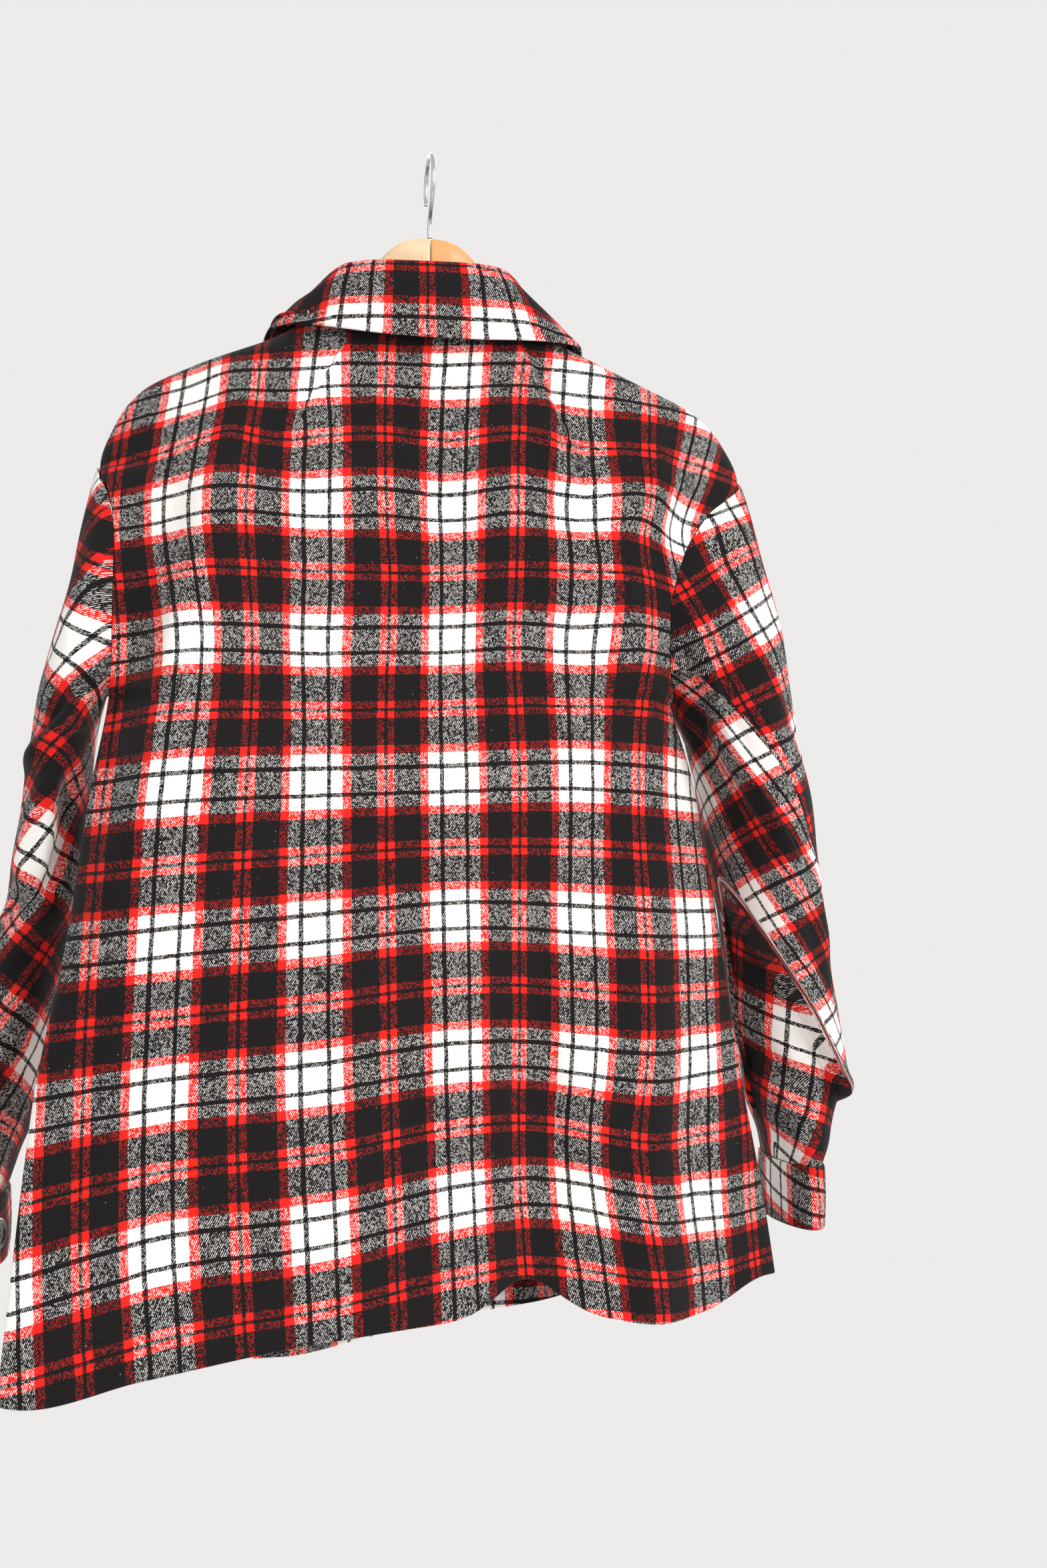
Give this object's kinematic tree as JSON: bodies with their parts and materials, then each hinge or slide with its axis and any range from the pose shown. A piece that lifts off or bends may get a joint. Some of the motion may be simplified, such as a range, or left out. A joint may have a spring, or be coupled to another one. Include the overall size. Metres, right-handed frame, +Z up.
{
  "type": "tartan jacket on a wooden coat hanger",
  "caption": "Boxy tartan wool jacket with collar and cuffs, hung on a contoured wooden hanger, back to the viewer and one hem corner drawn out.",
  "frame": {"origin": "inner top of the hanger's hook, where it bears on a rail", "axes": "+Z up; the jacket's back faces -Y; +X is the wearer's right"},
  "size_m": [0.6714, 0.2848, 0.8784],
  "materials": {
    "wool": "napped twill tartan in red, black and off-white",
    "light_wood": "satin",
    "dark_wood": "satin",
    "wire": "polished",
    "black_plastic": "glossy"
  },
  "bodies": {
    "root": {"back": "wool", "left_front": "wool", "right_front": "wool", "left_sleeve": "wool", "right_sleeve": "wool", "left_cuff": "wool", "right_cuff": "wool", "collar": "wool", "left_arm": "light_wood", "right_arm": "dark_wood", "hook": "wire", "front_button_1": "black_plastic", "front_button_2": "black_plastic", "front_button_3": "black_plastic", "front_button_4": "black_plastic", "front_button_5": "black_plastic", "right_cuff_button": "black_plastic", "left_cuff_button": "black_plastic"}
  },
  "joints": []
}
